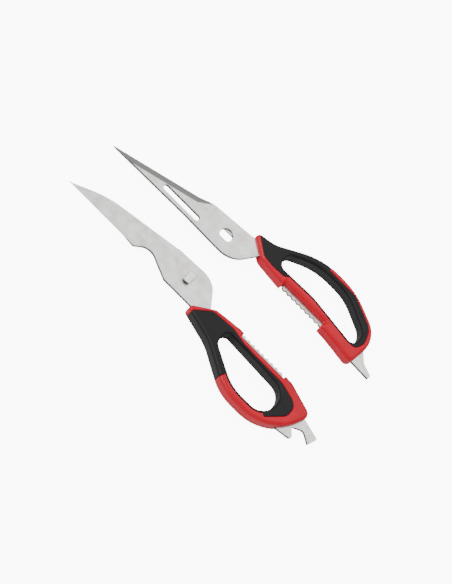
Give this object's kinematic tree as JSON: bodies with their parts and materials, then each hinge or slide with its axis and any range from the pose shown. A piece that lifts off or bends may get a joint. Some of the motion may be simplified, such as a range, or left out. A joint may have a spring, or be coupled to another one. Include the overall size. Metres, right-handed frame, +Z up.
{
  "type": "poultry shears",
  "caption": "Take-apart poultry shears with red and black handles, lying as two halves, blades up the page.",
  "frame": {"origin": "on the table under the middle of the whole layout", "axes": "+Y towards the blades' points, +X from the left half to the right half, +Z up from the table"},
  "size_m": [0.129, 0.2406, 0.012],
  "materials": {
    "steel": "satin",
    "red_plastic": "gloss",
    "black_rubber": "matte"
  },
  "bodies": {
    "left_half": {"left_blade": "steel", "pivot_stud": "steel", "left_top_shell": "red_plastic", "left_bottom_shell": "red_plastic", "left_soft_grip": "black_rubber", "left_jar_teeth": "steel", "bottle_opener": "steel", "left_tang_pin_front": "steel", "left_tang_pin_rear": "steel", "left_tail_pin": "steel"},
    "washer": {"stud_washer": "steel"},
    "right_half": {"right_blade": "steel", "right_top_shell": "red_plastic", "right_bottom_shell": "red_plastic", "right_soft_grip": "black_rubber", "right_jar_teeth": "steel", "screwdriver_tip": "steel", "right_tang_pin_front": "steel", "right_tang_pin_rear": "steel", "right_tail_pin": "steel"}
  },
  "joints": [
    {"name": "pivot", "type": "hinge", "parent": "left_half", "child": "washer", "pos_m": [-0.01972, 0.01713, 0.006], "axis": [0, 0, 1], "range_deg": [-1, 90]},
    {"name": "take_apart", "type": "slide", "parent": "washer", "child": "right_half", "axis": [-0.9975, -0.0708, 0], "range_m": [-0.06124, 0.04376]}
  ]
}
